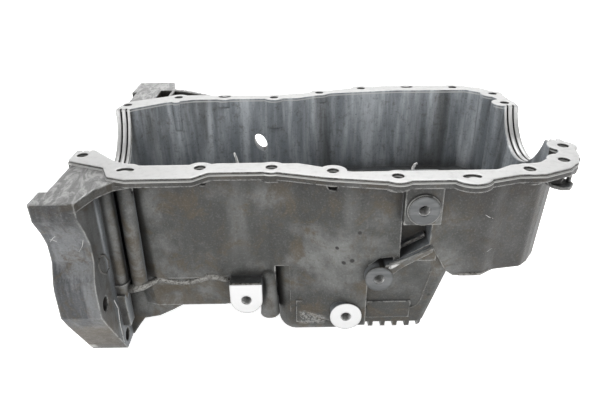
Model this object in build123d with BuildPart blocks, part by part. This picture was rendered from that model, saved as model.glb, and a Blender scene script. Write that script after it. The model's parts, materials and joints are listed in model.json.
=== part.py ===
from build123d import *
import os
from math import radians, tan

# Engine oil pan: a die-cast aluminium sump with a bell-housing flange at its transmission end.
#
# Frame: X along the crankshaft (transmission end at -X), Y across the engine, Z up.
# The gasket face is the plane Z = 0 and the front row of bolts is on the -Y side.
# All sizes are in millimetres, depths are measured down from the gasket face.

# ------------------------------------------------------------------ casting
wall = 5.0                     # side walls
floor_thickness = 6.0
draft = 3.0                    # degrees
corner_radius = 8.0

# ------------------------------------------------------------------ rail and its bolts
rail_thickness = 6.5
rail_corner_radius = 4.0
rail_step = 0.8                # the cast edge stands out under the machined one
rail_step_depth = 2.2
rail_boss_depth = 8.5
rail_boss_radius = 10.5
bolt_bore = 9.0                # clearance for M8
bolt_column_radius = 12.5
inner_column_radius = 10.5
inner_column_depth = 31.0
back_rib = (-151.5, 81.0)      # small rib inside the back wall
inner_rib_radius = 4.0
head_relief_radius = 6.5       # room for the screws' heads under the bosses
head_relief_depth = 16.0
head_relief_taper = 25.0
end_bolt_depth = 20.0
front_bolts = [
    (-199.5, -67.5), (-100.5, -97.5), (-46.0, -98.5), (0.0, -107.0),
    (46.5, -118.5), (145.5, -109.5), (178.0, -93.0), (190.5, -63.0),
]
back_bolts = [
    (-199.5, 71.5), (-151.5, 97.0), (-49.0, 91.5), (0.0, 107.0),
    (47.0, 122.0), (148.5, 120.5), (184.0, 92.5), (185.0, 58.5),
]
walled_bolts = [*front_bolts[1:4], back_bolts[2]]
corner_bolts = [*front_bolts[6:], *back_bolts[6:]]
front_slots = [(-156.5, -98.0), (99.5, -120.0)]
back_slots = [(-102.0, 95.0), (98.5, 123.0)]
slot_width = 5.0
slot_bend_radius = 6.5         # the slots curve round their pads
slot_half_angle = 42.0

# ------------------------------------------------------------------ ends
left_end = -207.5
left_land = 13.5
left_arch_radius = 56.5
left_arch_height = 6.0         # axis above the gasket face
right_end = 195.0
right_land = 13.0
right_arch_radius = 50.0
right_arch_height = 14.0
groove_width = 1.9
groove_depth = 2.5
groove_pitch = 5.4
first_groove = 4.0             # from the outer face of the end wall

collar = 8.0
end_arches = [
    (left_end, left_land, left_arch_radius, left_arch_height, 1),
    (right_end, right_land, right_arch_radius, right_arch_height, -1),
]

# ------------------------------------------------------------------ depths
ledge_depth = 105.0
ledge_step = 3.0
shallow_depth = 135.0          # transmission end
timing_depth = 93.5            # timing end
deep_depth = 170.0             # bottom of the sump and foot of the flange
finned_depth = 153.5
fin_tip_depth = 159.0
fin_count = 5
fin_width = 4.2
fin_pitch = 10.8
first_fin = 37.3
deep_corner_radius = 16.0
deep_bottom_radius = 14.0
recess_corner_radius = 10.0
recess_bottom_radius = 3.0

# ------------------------------------------------------------------ deep sump
deep_left = -48.0
deep_left_foot = -44.0
deep_right = 108.0
deep_right_foot = 82.0
deep_join_depth = 60.0         # where the deep sump leaves the shallow walls
recess_left = 27.0             # left side of the recessed front
recess_front = -107.0
recess_front_foot = -90.0

# ------------------------------------------------------------------ bell-housing flange
flange_face = -204.5
flange_thickness = 25.5
flange_drop = 3.0              # wing tops below the gasket face
flange_rim_width = 14.0
flange_rim_height = 6.0
flange_pocket = 17.0           # pockets cast into the transmission side
flange_pocket_start = 103.0
flange_pocket_top = 20.0
front_wing = -150.0
back_wing = 173.0
flange_foot = 103.0            # half width of the foot
flange_bolt_bore = 12.0        # clearance for M10
flange_bolt_radius = 9.5
flange_bolts = [(-131.0, -100.5), (-98.0, -158.5), (131.0, -100.5), (98.0, -158.5)]

waist_depth = 50.0
wing_root = -124.0             # where the front wing's carved edge starts
wing_outer = [                 # its edge on the transmission side, y and z
    (-150, -3), (-149, -17), (-141, -31), (-136.2, -43), (-136, -58),
    (-142.2, -73), (-143.5, -82), (-143.5, -105), (-135.5, -119),
]
wing_inner = [                 # and on the engine side
    (-150, -3), (-143.5, -18), (-135.5, -32), (-131, -44), (-131, -57),
    (-138, -71), (-149.5, -87), (-149.5, -108), (-135.5, -119),
]
gusset_depth = 75.0
wing_plate = 7.0
foot_rib_pitch = 80.0
foot_rib_width = 7.0
column_foot = 150.0            # the front wall runs on down to pad C
column_foot_radius = 9.0

# ------------------------------------------------------------------ threaded pads on the front
thread_bore = 8.5              # M10 core
pad_a = (66.5, -25.4)
pad_a_face = -126.0
pad_a_radius = 12.6
pad_a_ring = 1.2               # step round its face
pad_b = (37.8, -90.8)
pad_b_face = -118.0
pad_b_radius = 11.0
pad_c = (13.0, -133.8)
pad_c_face = -110.0
pad_c_radius = 13.4
pad_d = (-71.0, -119.5)
pad_d_face = -104.0
pad_d_radius = 13.6
thread_depth = 14.0
column_d = (-52.0, -89.0)      # half-round column beside pad D
column_d_radius = 8.5
column_d_taper = 4.2
column_d_top = 104.0
column_d_foot = 144.0
plate_top = 131.0              # raised plates on the deep sump
plate_rise = 1.2
lug_depth = 16.0
lug_thickness = 2.5
port = (-64.5, -48.0)          # slanted port through the back wall: x, z
port_size = (12.0, 20.0)
drain = (14.0, -138.0)
drain_radius = 15.0
drain_bore = 12.5              # M14 core

# ------------------------------------------------------------------ plan of the cavity at the gasket face
cavity_left = left_end + left_land
cavity_right = right_end - right_land

cavity_outline = [
    (cavity_left, -55), (-168, -83), (-148, -91.5), (-95, -91.5),
    (-89, -89.5), (-51, -89.5), (-45, -91.5), (-26, -91.5),
    (14, -109.5), (122, -109.5), (134, -101.5), (158, -97.5), (cavity_right, -76),
    (cavity_right, 72), (176, 94), (160, 109), (82, 111),
    (14, 104), (-24, 87), (-134, 87), (-162, 78), (cavity_left, 57),
]

rail_outline = [
    (left_end, -56), (left_end, -79), (-175, -94), (-167, -112),
    (-153, -117.5), (-104, -117), (-93, -107), (-45, -107),
    (-4, -119.5), (36, -127), (112, -127), (135, -119.5),
    (154, -119.5), (176.5, -109), (187, -97.5), (193.5, -86), (198, -66), (right_end, -49),
    (right_end, 49), (192, 96), (176, 117), (157, 128),
    (72, 131), (40, 125), (-20, 105), (-60, 100),
    (-130, 104), (-160, 103), (-204, 81), (left_end, 57),
]

# Side view of the shallow pan, from the transmission end to the timing end
side_view = [
    (left_end - 10, 10), (left_end - 10, -shallow_depth), (deep_left + 2, -shallow_depth),
    (deep_left + 2, -timing_depth), (right_end + 20, -timing_depth), (right_end + 20, 10),
]

# Front corner of the timing end, cut off below the bolt bosses
cut_corner_depth = 22.0
cut_corner = [(160.5, -104), (160.5, -140), (220, -140), (220, -57), (190, -57), (179.5, -79)]

# Recess in the front wall between the pads, seen from the front: x, z
recess_outline = [
    (recess_left, -deep_depth), (recess_left, -85), (38.5, -75.5), (52, -74),
    (55, -66), (78, -63), (92, -88), (99, -timing_depth), (99, -deep_depth),
]


def wall_front(depth):
    """Y of the outer face of the front wall at the transmission end, at a given depth."""
    return -91.5 - wall + depth * tan(radians(draft))


def wall_back(depth):
    """Y of the outer face of the back wall at the transmission end, at a given depth."""
    return 87.0 + wall - depth * tan(radians(draft))


# ------------------------------------------------------------------ plans at the gasket face
with BuildSketch() as cavity_plan:
    with BuildLine():
        Polyline(*cavity_outline, close=True)
    make_face()
    fillet(cavity_plan.vertices(), radius=corner_radius)

with BuildSketch() as outer_plan:
    add(cavity_plan.sketch)
    offset(amount=wall)

# ------------------------------------------------------------------ hollow of the pan
with BuildPart() as shallow_hollow:
    with BuildSketch():
        add(cavity_plan.sketch)
    extrude(amount=shallow_depth - floor_thickness, dir=(0, 0, -1), taper=draft)
    with BuildSketch(Plane.XZ):
        with BuildLine():
            Polyline(*side_view, close=True)
        make_face()
        offset(amount=-floor_thickness, kind=Kind.INTERSECTION)
        with Locations((0, 20)):
            Rectangle(500, 60)
    extrude(amount=300, both=True, mode=Mode.INTERSECT)
    with BuildSketch(Plane.XZ.offset(-wall_front(deep_join_depth) - wall)):
        with BuildLine():
            Polyline(*recess_outline, close=True)
        make_face()
        offset(amount=wall + 2, kind=Kind.INTERSECTION)
    extrude(amount=60, mode=Mode.SUBTRACT)
    # Columns left standing round the bolts that are close to the wall
    with BuildSketch():
        with Locations(*walled_bolts):
            Circle(inner_column_radius)
    extrude(amount=inner_column_depth, dir=(0, 0, -1), mode=Mode.SUBTRACT)
    with BuildSketch():
        with Locations(back_rib):
            Circle(inner_rib_radius)
    extrude(amount=inner_column_depth, dir=(0, 0, -1), mode=Mode.SUBTRACT)
    with BuildSketch(Plane.XY.offset(-cut_corner_depth + wall + 2)):
        with BuildLine():
            Polyline(*cut_corner, close=True)
        make_face()
        offset(amount=wall, kind=Kind.INTERSECTION)
    extrude(amount=shallow_depth, dir=(0, 0, -1), taper=-draft, mode=Mode.SUBTRACT)
    with BuildSketch():
        with Locations(*corner_bolts):
            Circle(bolt_column_radius)
    extrude(amount=shallow_depth, dir=(0, 0, -1), mode=Mode.SUBTRACT)

with BuildPart() as deep_hollow:
    with BuildSketch(Plane.XZ):
        with BuildLine():
            Polyline(
                (deep_left + wall, -deep_join_depth), (deep_right - wall, -deep_join_depth),
                (deep_right_foot - wall, floor_thickness - finned_depth),
                (recess_left, floor_thickness - finned_depth), (recess_left - 8, floor_thickness - deep_depth),
                (deep_left_foot + wall + 3, floor_thickness - deep_depth), close=True,
            )
        make_face()
    extrude(amount=150, both=True)
    with BuildSketch(Plane.YZ):
        with BuildLine():
            Polyline(
                (wall_front(deep_join_depth) + wall, -deep_join_depth),
                (wall_front(deep_depth) + wall + 3, floor_thickness - deep_depth),
                (wall_back(deep_depth) - wall - 3, floor_thickness - deep_depth),
                (wall_back(deep_join_depth) - wall, -deep_join_depth), close=True,
            )
        make_face()
    extrude(amount=150, both=True, mode=Mode.INTERSECT)
    fillet(deep_hollow.edges().filter_by(lambda e: e.bounding_box().size.Z > 80), radius=corner_radius)
    # Passage from the shallow floor
    with BuildSketch(Plane.XZ):
        with Locations((deep_left_foot + wall + 3, floor_thickness - shallow_depth)):
            Rectangle(25, 60, align=(Align.MAX, Align.MIN))
    extrude(amount=70, both=True)

# ------------------------------------------------------------------ deep sump
with BuildPart() as sump_block:
    with BuildSketch(Plane.XZ):
        with BuildLine():
            Polyline(
                (deep_left, -deep_join_depth), (deep_right, -deep_join_depth),
                (deep_right_foot, -deep_depth), (deep_left_foot, -deep_depth), close=True,
            )
        make_face()
    extrude(amount=150, both=True)
    with BuildSketch(Plane.YZ):
        with BuildLine():
            Polyline(
                (wall_front(deep_join_depth), -deep_join_depth), (wall_front(deep_depth), -deep_depth),
                (wall_back(deep_depth), -deep_depth), (wall_back(deep_join_depth), -deep_join_depth), close=True,
            )
        make_face()
    extrude(amount=150, both=True, mode=Mode.INTERSECT)
    fillet(sump_block.edges().filter_by(lambda e: e.bounding_box().size.Z > 80), radius=deep_corner_radius)
    fillet(sump_block.faces().sort_by(Axis.Z)[0].edges(), radius=deep_bottom_radius)

with BuildPart() as recess_block:
    with BuildSketch(Plane.XZ):
        with BuildLine():
            Polyline(
                (recess_left - 2, -deep_join_depth), (deep_right, -deep_join_depth),
                (deep_right_foot, -deep_depth), (recess_left - 2, -deep_depth), close=True,
            )
        make_face()
    extrude(amount=150, both=True)
    with BuildSketch(Plane.YZ):
        with BuildLine():
            Polyline(
                (recess_front, -deep_join_depth), (recess_front_foot, -deep_depth),
                (0, -deep_depth), (0, -deep_join_depth), close=True,
            )
        make_face()
    extrude(amount=150, both=True, mode=Mode.INTERSECT)
    slant = recess_block.edges().filter_by(lambda e: e.bounding_box().size.Z > 80)
    fillet(slant.sort_by(Axis.X)[-2:].sort_by(Axis.Y)[0], radius=recess_corner_radius)
    foot = recess_block.faces().sort_by(Axis.Z)[0].edges()
    fillet(foot.filter_by(lambda e: e.center().X > recess_left and e.center().Y < -1), radius=recess_bottom_radius)

with BuildPart() as front_column:
    with BuildSketch():
        add(outer_plan.sketch)
    extrude(amount=column_foot, dir=(0, 0, -1), taper=draft)
    with BuildSketch(Plane.XY.offset(-deep_join_depth)):
        with Locations((recess_left + 3, -80)):
            Rectangle(64, 50, align=(Align.MAX, Align.MAX))
    extrude(amount=column_foot, dir=(0, 0, -1), mode=Mode.INTERSECT)
    foot = front_column.faces().sort_by(Axis.Z)[0].edges()
    fillet(foot.filter_by(lambda e: e.center().Y < -93 and e.bounding_box().size.X > 1), radius=column_foot_radius)

# ------------------------------------------------------------------ the casting
with BuildPart() as oil_pan:
    # Shallow pan, cut to its side view, with a ledge round the transmission end
    with BuildSketch():
        add(outer_plan.sketch)
    extrude(amount=shallow_depth, dir=(0, 0, -1), taper=draft)
    with BuildSketch(Plane.XZ):
        with BuildLine():
            Polyline(*side_view, close=True)
        make_face()
    extrude(amount=300, both=True, mode=Mode.INTERSECT)
    for side, face in ((-1, wall_front(ledge_depth)), (1, wall_back(ledge_depth))):
        with BuildSketch(Plane.XZ.offset(-face + side * ledge_step)):
            with Locations((deep_left - 9, -ledge_depth)):
                Rectangle(125, 40, align=(Align.MAX, Align.MAX))
        extrude(amount=-side * 40, mode=Mode.SUBTRACT)
    with BuildSketch(Plane.XY.offset(-cut_corner_depth)):
        with BuildLine():
            Polyline(*cut_corner, close=True)
        make_face()
    extrude(amount=shallow_depth, dir=(0, 0, -1), taper=-draft, mode=Mode.SUBTRACT)

    # Recess in the front, between the pads and the timing end
    with BuildSketch(Plane.XZ.offset(70)):
        with BuildLine():
            Polyline(*recess_outline, close=True)
        make_face()
    extrude(amount=80, mode=Mode.SUBTRACT)
    add(sump_block.part)
    add(recess_block.part)
    # Fins under its floor, front to back
    with BuildSketch(Plane.XZ):
        with Locations((recess_left - 2, -finned_depth)):
            Rectangle(100, 20, align=(Align.MIN, Align.MAX))
        for n in range(fin_count):
            with Locations((first_fin + n * fin_pitch, -finned_depth)):
                Rectangle(fin_width, fin_tip_depth - finned_depth, align=(Align.CENTER, Align.MAX), mode=Mode.SUBTRACT)
    extrude(amount=200, both=True, mode=Mode.SUBTRACT)

    # The front wall runs on down to pad C
    add(front_column.part)

    # Bolt bosses under the rail
    with BuildSketch():
        with Locations(*front_bolts[1:], *back_bolts[1:]):
            Circle(rail_boss_radius)
    extrude(amount=rail_boss_depth, dir=(0, 0, -1))

    # Collars of the end arches
    for face, land, radius, height, inward in end_arches:
        with BuildSketch(Plane.YZ.offset(face)):
            with Locations((0, height)):
                Circle(radius + collar)
            Rectangle(300, 300, align=(Align.CENTER, Align.MIN), mode=Mode.SUBTRACT)
        extrude(amount=inward * land)

    # Rail
    with BuildSketch() as rail_plan:
        with BuildLine():
            Polyline(*rail_outline, close=True)
        make_face()
        fillet(rail_plan.vertices(), radius=rail_corner_radius)
        with Locations(front_slots[1]):
            Circle(15)
        with Locations(front_bolts[4]):
            Circle(12)
    extrude(amount=rail_thickness, dir=(0, 0, -1))
    with BuildSketch(Plane.XY.offset(-rail_step_depth)):
        add(rail_plan.sketch_local)
        offset(amount=rail_step)
    extrude(amount=rail_thickness - rail_step_depth, dir=(0, 0, -1))

    # Bell-housing flange
    with BuildSketch(Plane.YZ.offset(flange_face)) as flange_plan:
        with BuildLine():
            front_edge = Polyline(*[(wing_root, wing_outer[0][1]), *wing_outer])
            front_slope = Line(front_edge @ 1, (-flange_foot, -deep_depth))
            foot_line = Line(front_slope @ 1, (flange_foot, -deep_depth))
            back_slope = Line(foot_line @ 1, (146, -105))
            back_heel = Line(back_slope @ 1, (146, -84))
            back_waist = ThreePointArc(back_heel @ 1, (145, -waist_depth), (back_wing - 1.5, -20))
            back_tip = Line(back_waist @ 1, (back_wing, -flange_drop))
            Line(back_tip @ 1, front_edge @ 0)
        make_face()
        fillet(flange_plan.vertices().filter_by(lambda v: v.Y > 0 and -110 < v.Z < -80), radius=12)
    with BuildSketch(Plane.YZ.offset(flange_face)):
        add(flange_plan.sketch_local)
        with Locations((wing_root, 0)):
            Rectangle(60, 500, align=(Align.MAX, Align.CENTER), mode=Mode.SUBTRACT)
    extrude(amount=flange_thickness)
    with BuildSketch(Plane.YZ.offset(flange_face)):
        with BuildLine():
            Polyline((wing_root, wing_outer[0][1]), *wing_outer, (wing_root, wing_outer[-1][1] - 16), close=True)
        make_face()
    with BuildSketch(Plane.YZ.offset(flange_face + flange_thickness)):
        with BuildLine():
            Polyline((wing_root, wing_inner[0][1]), *wing_inner, (wing_root, wing_inner[-1][1] - 16), close=True)
        make_face()
    loft(ruled=True)
    with BuildSketch(Plane.YZ.offset(flange_face)) as rim_plan:
        add(flange_plan.sketch_local)
        offset(amount=-flange_rim_width, kind=Kind.INTERSECTION, mode=Mode.SUBTRACT)
        with Locations((0, -flange_drop)):
            Rectangle(260, 70, align=(Align.CENTER, Align.MAX), mode=Mode.SUBTRACT)
        with Locations(*flange_bolts):
            Circle(flange_bolt_radius, mode=Mode.SUBTRACT)
    extrude(amount=-flange_rim_height)
    # Pockets in its transmission side, clear of the cavity and of the bolts
    with BuildSketch(Plane.YZ.offset(flange_face)) as pocket_plan:
        add(flange_plan.sketch_local)
        offset(amount=-flange_rim_width, kind=Kind.INTERSECTION, mode=Mode.REPLACE)
        with Locations((0, 0)):
            Rectangle(2 * flange_pocket_start, shallow_depth + 9, align=(Align.CENTER, Align.MAX), mode=Mode.SUBTRACT)
            Rectangle(500, 2 * flange_pocket_top, mode=Mode.SUBTRACT)
        with Locations(*flange_bolts):
            Circle(flange_bolt_radius, mode=Mode.SUBTRACT)
    extrude(amount=flange_pocket, mode=Mode.SUBTRACT)

    # Thick end of the back wing and the gusset that ties it to the rail
    with BuildSketch(Plane.XY.offset(-flange_drop)):
        with BuildLine():
            Polyline(
                (flange_face - 5, 147), (flange_face - 5, back_wing), (-170, back_wing),
                (-164.5, 143), (-148, 136), (-112, 109), (-112, 103),
                (-149, 130), (-170, 137), (flange_face, 137), close=True,
            )
        make_face()
    extrude(amount=gusset_depth, dir=(0, 0, -1))
    with BuildSketch(Plane.XY.offset(-flange_drop)):
        with Locations((-164.5, 118)):
            Rectangle(3, 40)
    extrude(amount=gusset_depth, dir=(0, 0, -1))

    with BuildSketch(Plane.XY.offset(-flange_drop)):
        with BuildLine():
            Polyline(
                (flange_face, -80), (flange_face, -148), (-179, front_wing), (-172, -128),
                (-163, -116), (-150, -110), (-160, -90), close=True,
            )
        make_face()
    extrude(amount=wing_plate, dir=(0, 0, -1))

    # Columns between the flange and the front wall
    with BuildSketch(Plane.XY.offset(-flange_drop)):
        with Locations((-175.5, -99)):
            Circle(6.4)
    extrude(amount=98, dir=(0, 0, -1))
    with BuildSketch(Plane.XY.offset(-101)):
        with Locations((-175.8, -99.2)):
            Circle(8)
    extrude(amount=17, dir=(0, 0, -1), taper=14)
    with BuildSketch(Plane.YZ.offset(-176)):
        with BuildLine():
            Polyline((-102, -112), (-106, -112), (-103, -145), (-92, -145), (-92, -112), close=True)
        make_face()
    extrude(amount=3.5, both=True)
    with BuildSketch(Plane.XY.offset(-rail_thickness)):
        with Locations((-159.8, -99)):
            Circle(6.4)
    extrude(amount=ledge_depth - rail_thickness, dir=(0, 0, -1))

    # Ribs under the shallow floor, behind the flange
    for rib in range(-1, 2):
        with BuildSketch(Plane.XZ.offset(rib * foot_rib_pitch)):
            with BuildLine():
                Polyline(
                    (flange_face + 5, -120), (flange_face + 5, -deep_depth), (-178, -deep_depth),
                    (-171.5, -160), (-166, -152.5), (-152, -150), (-140, -144), (-124, -shallow_depth),
                    (-124, -120), close=True,
                )
            make_face()
        extrude(amount=foot_rib_width / 2, both=True)

    # Half-round column beside pad D, wider at its foot
    with BuildSketch(Plane.XY.offset(-column_d_foot)):
        with Locations(column_d):
            Circle(column_d_radius)
    extrude(amount=column_d_foot - column_d_top, taper=column_d_taper)
    with Locations((*column_d, -column_d_top)):
        Sphere(5.6)
    with BuildSketch(Plane.XY.offset(-column_d_foot)):
        with Locations(column_d):
            Rectangle(15, 24, align=(Align.CENTER, Align.MIN))
    extrude(amount=column_d_foot - shallow_depth + 2)

    # Raised plates on the deep sump
    with BuildSketch(Plane.XZ.offset(-wall_front(plate_top) + plate_rise)):
        with Locations((-29, -plate_top)):
            Rectangle(26, 23, align=(Align.MIN, Align.MAX))
    extrude(amount=-12)
    with BuildSketch(Plane.YZ.offset(32)):
        with BuildLine():
            Polyline((-98, -127.5), (-94.8, -147), (-88, -147), (-88, -127.5), close=True)
        make_face()
    extrude(amount=38)

    # Lug at the front corner of the timing end
    with BuildSketch(Plane.XY.offset(-lug_depth)) as lug_plan:
        with BuildLine():
            Polyline((162, -92), (164.5, -110), (170, -114.5), (176.5, -114), (181.5, -107.5), (181.5, -99), close=True)
        make_face()
        fillet(lug_plan.vertices(), radius=2)
    extrude(amount=lug_thickness)
    with BuildSketch(Plane.XZ.offset(107)):
        with BuildLine():
            Polyline((157, -rail_thickness), (175, -rail_thickness), (171, -lug_depth), (164, -lug_depth), close=True)
        make_face()
    extrude(amount=-17)
    with BuildSketch(Plane.XY.offset(-lug_depth)):
        with Locations((179.6, -103)):
            Rectangle(1.8, 4)
    extrude(amount=lug_depth - rail_thickness)

    # Housing of pad A, the pocket under it and the rib down to pad B
    with BuildSketch(Plane.XZ.offset(-pad_a_face - 3)):
        with Locations((pad_a[0], -rail_thickness)):
            Rectangle(28, 32, align=(Align.CENTER, Align.MAX))
    extrude(amount=-25)
    with BuildSketch(Plane.XZ.offset(-pad_a_face - pad_a_ring)):
        with Locations(pad_a):
            Circle(pad_a_radius)
    extrude(amount=-28)
    with BuildSketch(Plane.XZ.offset(-pad_a_face)):
        with Locations(pad_a):
            Circle(pad_a_radius - pad_a_ring)
    extrude(amount=-pad_a_ring)
    with BuildSketch(Plane.XZ.offset(-pad_b_face)):
        with Locations(pad_b):
            Circle(pad_b_radius)
    extrude(amount=-25)
    with BuildSketch(Plane.XZ.offset(-pad_c_face)):
        with Locations(pad_c):
            Circle(pad_c_radius)
    extrude(amount=-25)
    with BuildSketch(Plane.XZ.offset(-pad_d_face)):
        with Locations(pad_d):
            Circle(pad_d_radius)
            Rectangle(2 * pad_d_radius, pad_d_radius + 2, align=(Align.CENTER, Align.MIN))
    extrude(amount=-22)

    # Boss of the slanted port and drain boss, both on the back
    with BuildSketch(Plane.XZ.offset(-84)):
        with Locations(Location((port[0], port[1], 0), (0, 0, 25))):
            Ellipse(port_size[0] / 2 + 5, port_size[1] / 2 + 5)
    extrude(amount=-12)
    with BuildSketch(Plane.XZ.offset(-76)):
        with Locations(drain):
            Circle(drain_radius)
    extrude(amount=-15)

    # Hollow
    add(shallow_hollow.part, mode=Mode.SUBTRACT)
    add(deep_hollow.part, mode=Mode.SUBTRACT)

    # Bosses of the bolts and slots inside the hollow
    with BuildSketch():
        with Locations(*front_bolts[1:], *back_bolts[1:]):
            Circle(rail_boss_radius)
        with Locations(*front_slots, *back_slots):
            Circle(inner_column_radius)
    extrude(amount=rail_boss_depth, dir=(0, 0, -1))

    # Pads' housings reach into the hollow
    with BuildSketch(Plane.XZ.offset(-wall_front(deep_join_depth) - wall)):
        with Locations((pad_a[0], -rail_boss_depth)):
            Rectangle(34, 70, align=(Align.CENTER, Align.MAX))
    extrude(amount=22)
    with BuildSketch(Plane.XZ.offset(95)):
        with BuildLine():
            Polyline((53.5, -40), (77, -40), (77, -63), (54.5, -76), close=True)
        make_face()
    extrude(amount=35, mode=Mode.SUBTRACT)
    with BuildSketch(Plane.XZ.offset(94)):
        with BuildLine():
            Polyline(
                (41, -83), (49, -87.5), (57, -80.5), (78.5, -67.5), (79, -63.5), (54, -76.5), (43, -79), close=True,
            )
        make_face()
    extrude(amount=22)
    with BuildSketch(Plane.XZ.offset(94)):
        with BuildLine():
            Polyline((52, -75.5), (76, -62), (75, -59.5), (52, -72.5), close=True)
        make_face()
    extrude(amount=6)

    # Slanted port in the back wall and drain boss behind the deep sump
    with BuildSketch(Plane.XZ.offset(-60)):
        with Locations(Location((port[0], port[1], 0), (0, 0, 25))):
            Ellipse(port_size[0] / 2, port_size[1] / 2)
    extrude(amount=-60, mode=Mode.SUBTRACT)

    # End arches with two seal grooves each
    for face, land, radius, height, inward in end_arches:
        with BuildSketch(Plane.YZ.offset(face - inward * 10)):
            with Locations((0, height)):
                Circle(radius)
        extrude(amount=inward * (land + 20), mode=Mode.SUBTRACT)
        for groove in range(2):
            with BuildSketch(Plane.YZ.offset(face + inward * (first_groove + groove * groove_pitch))):
                with Locations((0, height)):
                    Circle(radius + groove_depth)
            extrude(amount=inward * groove_width, mode=Mode.SUBTRACT)

    # Bolt holes and slots of the rail
    with BuildSketch():
        with Locations(front_bolts[0], back_bolts[0]):
            Circle(bolt_bore / 2)
    extrude(amount=end_bolt_depth, dir=(0, 0, -1), mode=Mode.SUBTRACT)
    with BuildSketch():
        with Locations(*front_bolts[1:], *back_bolts[1:]):
            Circle(bolt_bore / 2)
    extrude(amount=rail_boss_depth, dir=(0, 0, -1), mode=Mode.SUBTRACT)
    with BuildSketch(Plane.XY.offset(-rail_boss_depth)):
        with Locations(*front_bolts[1:], *back_bolts[1:]):
            Circle(head_relief_radius)
    extrude(amount=head_relief_depth - rail_boss_depth, dir=(0, 0, -1), taper=head_relief_taper, mode=Mode.SUBTRACT)
    for slots, turn in ((front_slots, 90), (back_slots, 270)):
        with BuildSketch():
            for x, y in slots:
                bend_centre = (x, y - slot_bend_radius if turn == 90 else y + slot_bend_radius)
                with Locations(bend_centre):
                    SlotArc(
                        CenterArc((0, 0), slot_bend_radius, turn - slot_half_angle, 2 * slot_half_angle, mode=Mode.PRIVATE),
                        height=slot_width,
                    )
        extrude(amount=20, dir=(0, 0, -1), mode=Mode.SUBTRACT)

    # Threaded holes of the pads
    for centre, face in ((pad_a, pad_a_face), (pad_b, pad_b_face), (pad_c, pad_c_face), (pad_d, pad_d_face)):
        with BuildSketch(Plane.XZ.offset(-face)):
            with Locations(centre):
                Circle(thread_bore / 2)
        extrude(amount=-thread_depth, mode=Mode.SUBTRACT)

    with BuildSketch(Plane.XZ.offset(-60)):
        with Locations(drain):
            Circle(drain_bore / 2)
    extrude(amount=-50, mode=Mode.SUBTRACT)

    # Bolt holes of the flange
    with BuildSketch(Plane.YZ.offset(flange_face - 20)):
        with Locations(*flange_bolts):
            Circle(flange_bolt_bore / 2)
    extrude(amount=80, mode=Mode.SUBTRACT)

os.makedirs("parts", exist_ok=True)
oil_pan.part.label = "oil_pan"
export_step(oil_pan.part, "parts/oil_pan.step")
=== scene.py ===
"""Cast aluminium engine oil pan: its finish, its small cast forms, a pale studio and the camera.

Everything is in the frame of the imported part: X along the crankshaft with the transmission
at -X, Y across the engine with the front at -Y, Z up and zero on the gasket face. Sizes are in
metres, written as millimetres times MM, apart from the lines of points, which are in millimetres.
"""

import json
import logging
import math
from collections.abc import Sequence
from dataclasses import dataclass
from enum import Enum

import bmesh
import bpy
from mathutils import Matrix, Vector
from mathutils.bvhtree import BVHTree

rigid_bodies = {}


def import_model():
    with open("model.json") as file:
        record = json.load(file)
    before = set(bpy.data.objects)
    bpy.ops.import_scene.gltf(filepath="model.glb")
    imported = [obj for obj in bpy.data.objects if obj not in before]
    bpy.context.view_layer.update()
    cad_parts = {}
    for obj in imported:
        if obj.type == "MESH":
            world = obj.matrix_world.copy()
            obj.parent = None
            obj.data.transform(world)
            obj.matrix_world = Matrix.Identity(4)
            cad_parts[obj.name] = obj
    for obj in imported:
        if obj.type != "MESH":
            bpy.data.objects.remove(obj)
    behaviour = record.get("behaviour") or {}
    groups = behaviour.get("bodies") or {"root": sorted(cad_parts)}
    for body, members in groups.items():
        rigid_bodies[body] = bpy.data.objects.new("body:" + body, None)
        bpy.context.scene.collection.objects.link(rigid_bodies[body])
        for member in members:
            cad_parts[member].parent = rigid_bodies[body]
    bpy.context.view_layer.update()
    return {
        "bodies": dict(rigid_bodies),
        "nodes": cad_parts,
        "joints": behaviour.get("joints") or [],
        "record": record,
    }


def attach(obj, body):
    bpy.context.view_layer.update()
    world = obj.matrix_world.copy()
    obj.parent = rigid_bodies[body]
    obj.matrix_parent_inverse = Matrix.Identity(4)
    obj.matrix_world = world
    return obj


LOG = logging.getLogger("oil_pan")
MM = 0.001
MOST_VERTICES = 100_000

Socket = bpy.types.NodeSocket
Colour = tuple[float, float, float]
Place = tuple[float, float]
Point = tuple[float, float, float]
Span = tuple[float, float]


class Look(Enum):
    """Which way an occlusion node looks from the surface."""

    OUT_TO_CORNERS = False
    INTO_THIN_EDGES = True


@dataclass(frozen=True)
class Grain:
    """A noise pattern: features per metre, octaves, their strength, each axis's scale and its twist."""

    scale: float
    detail: float
    rough: float
    stretch: Point = (1.0, 1.0, 1.0)
    twist: float = 0.0


@dataclass(frozen=True)
class Coat:
    """A coat of colour, with the span of its pattern over which it comes in and its strength."""

    colour: Colour
    span: Span
    strength: float = 1.0


@dataclass(frozen=True)
class Relief:
    """A bump's height, and its strength on cast and on machined faces."""

    height: float
    cast: float
    machined: float


class Pattern(Enum):
    """The noise patterns of the finishes."""

    CLOUD = Grain(16.0, 6.0, 0.6)
    PATCH = Grain(36.0, 7.0, 0.70, twist=0.8)
    MOTTLE = Grain(170.0, 5.0, 0.65)
    GRAIN = Grain(620.0, 4.0, 0.7)
    FINE = Grain(1300.0, 2.0, 0.6)
    STREAK = Grain(70.0, 5.0, 0.62, (1.0, 1.0, 0.10))
    DRIP = Grain(17.0, 5.0, 0.55, (1.0, 1.0, 0.12))
    SCRATCH = Grain(260.0, 3.0, 0.5, (0.16, 1.0, 1.0), 0.3)
    SWIRL = Grain(90.0, 5.0, 0.65, (1.0, 0.35, 1.0), 2.2)
    FLECK = Grain(520.0, 4.0, 0.7)
    SMEAR = Grain(150.0, 4.0, 0.6)
    TONE = Grain(3.0, 2.0, 0.55)


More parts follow.
